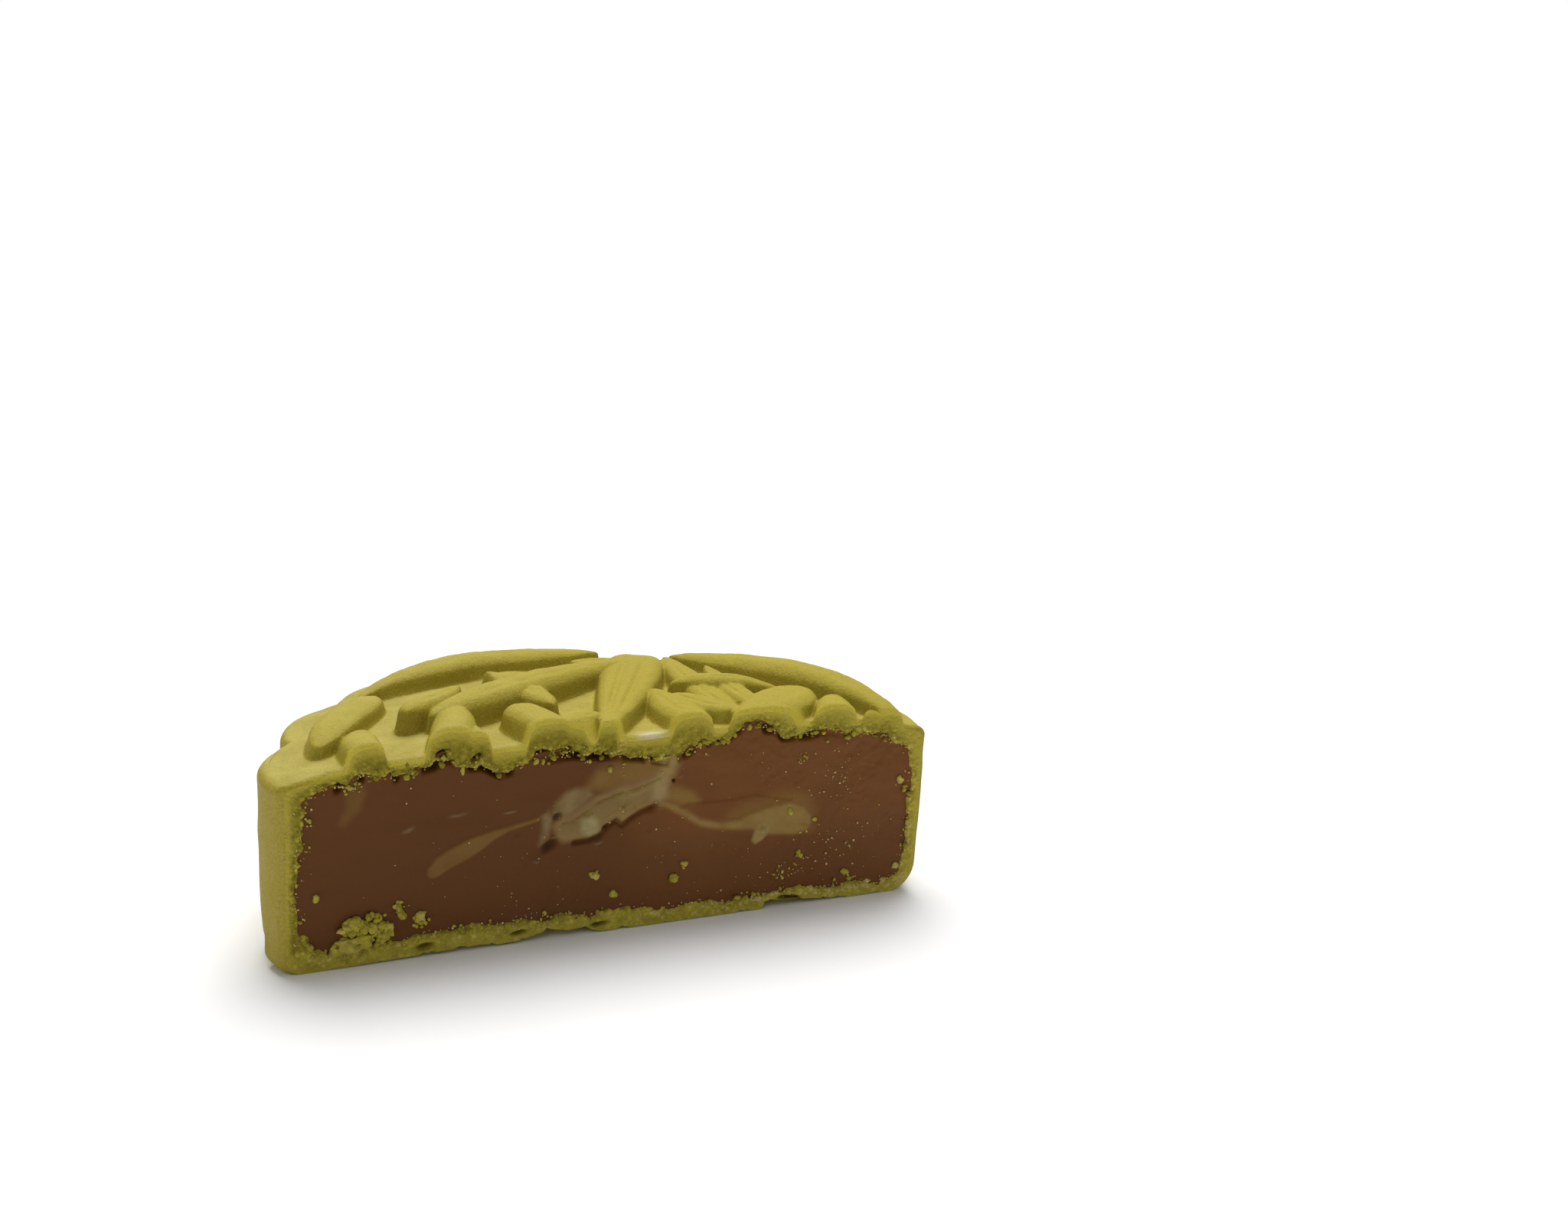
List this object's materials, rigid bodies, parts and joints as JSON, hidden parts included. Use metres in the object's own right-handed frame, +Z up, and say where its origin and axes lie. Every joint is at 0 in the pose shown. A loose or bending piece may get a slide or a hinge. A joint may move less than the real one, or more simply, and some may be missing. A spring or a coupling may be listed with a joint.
{
  "type": "durian mooncake",
  "caption": "Cut half of a round scalloped durian mooncake: green-gold crust pressed with crossing leaves, dark paste filling and a pale custard core at the cut.",
  "frame": {"origin": "under the middle of the half's bounding box, on the plane it rests on", "axes": "+X along the cut face to the right as seen from in front of it, +Y away from the cut towards the scalloped back, +Z up"},
  "size_m": [0.073, 0.0366, 0.0248],
  "materials": {
    "crust": "matte",
    "filling": "satin",
    "custard": "gloss"
  },
  "bodies": {
    "root": {"crust": "crust", "filling": "filling", "custard": "custard"}
  },
  "joints": []
}
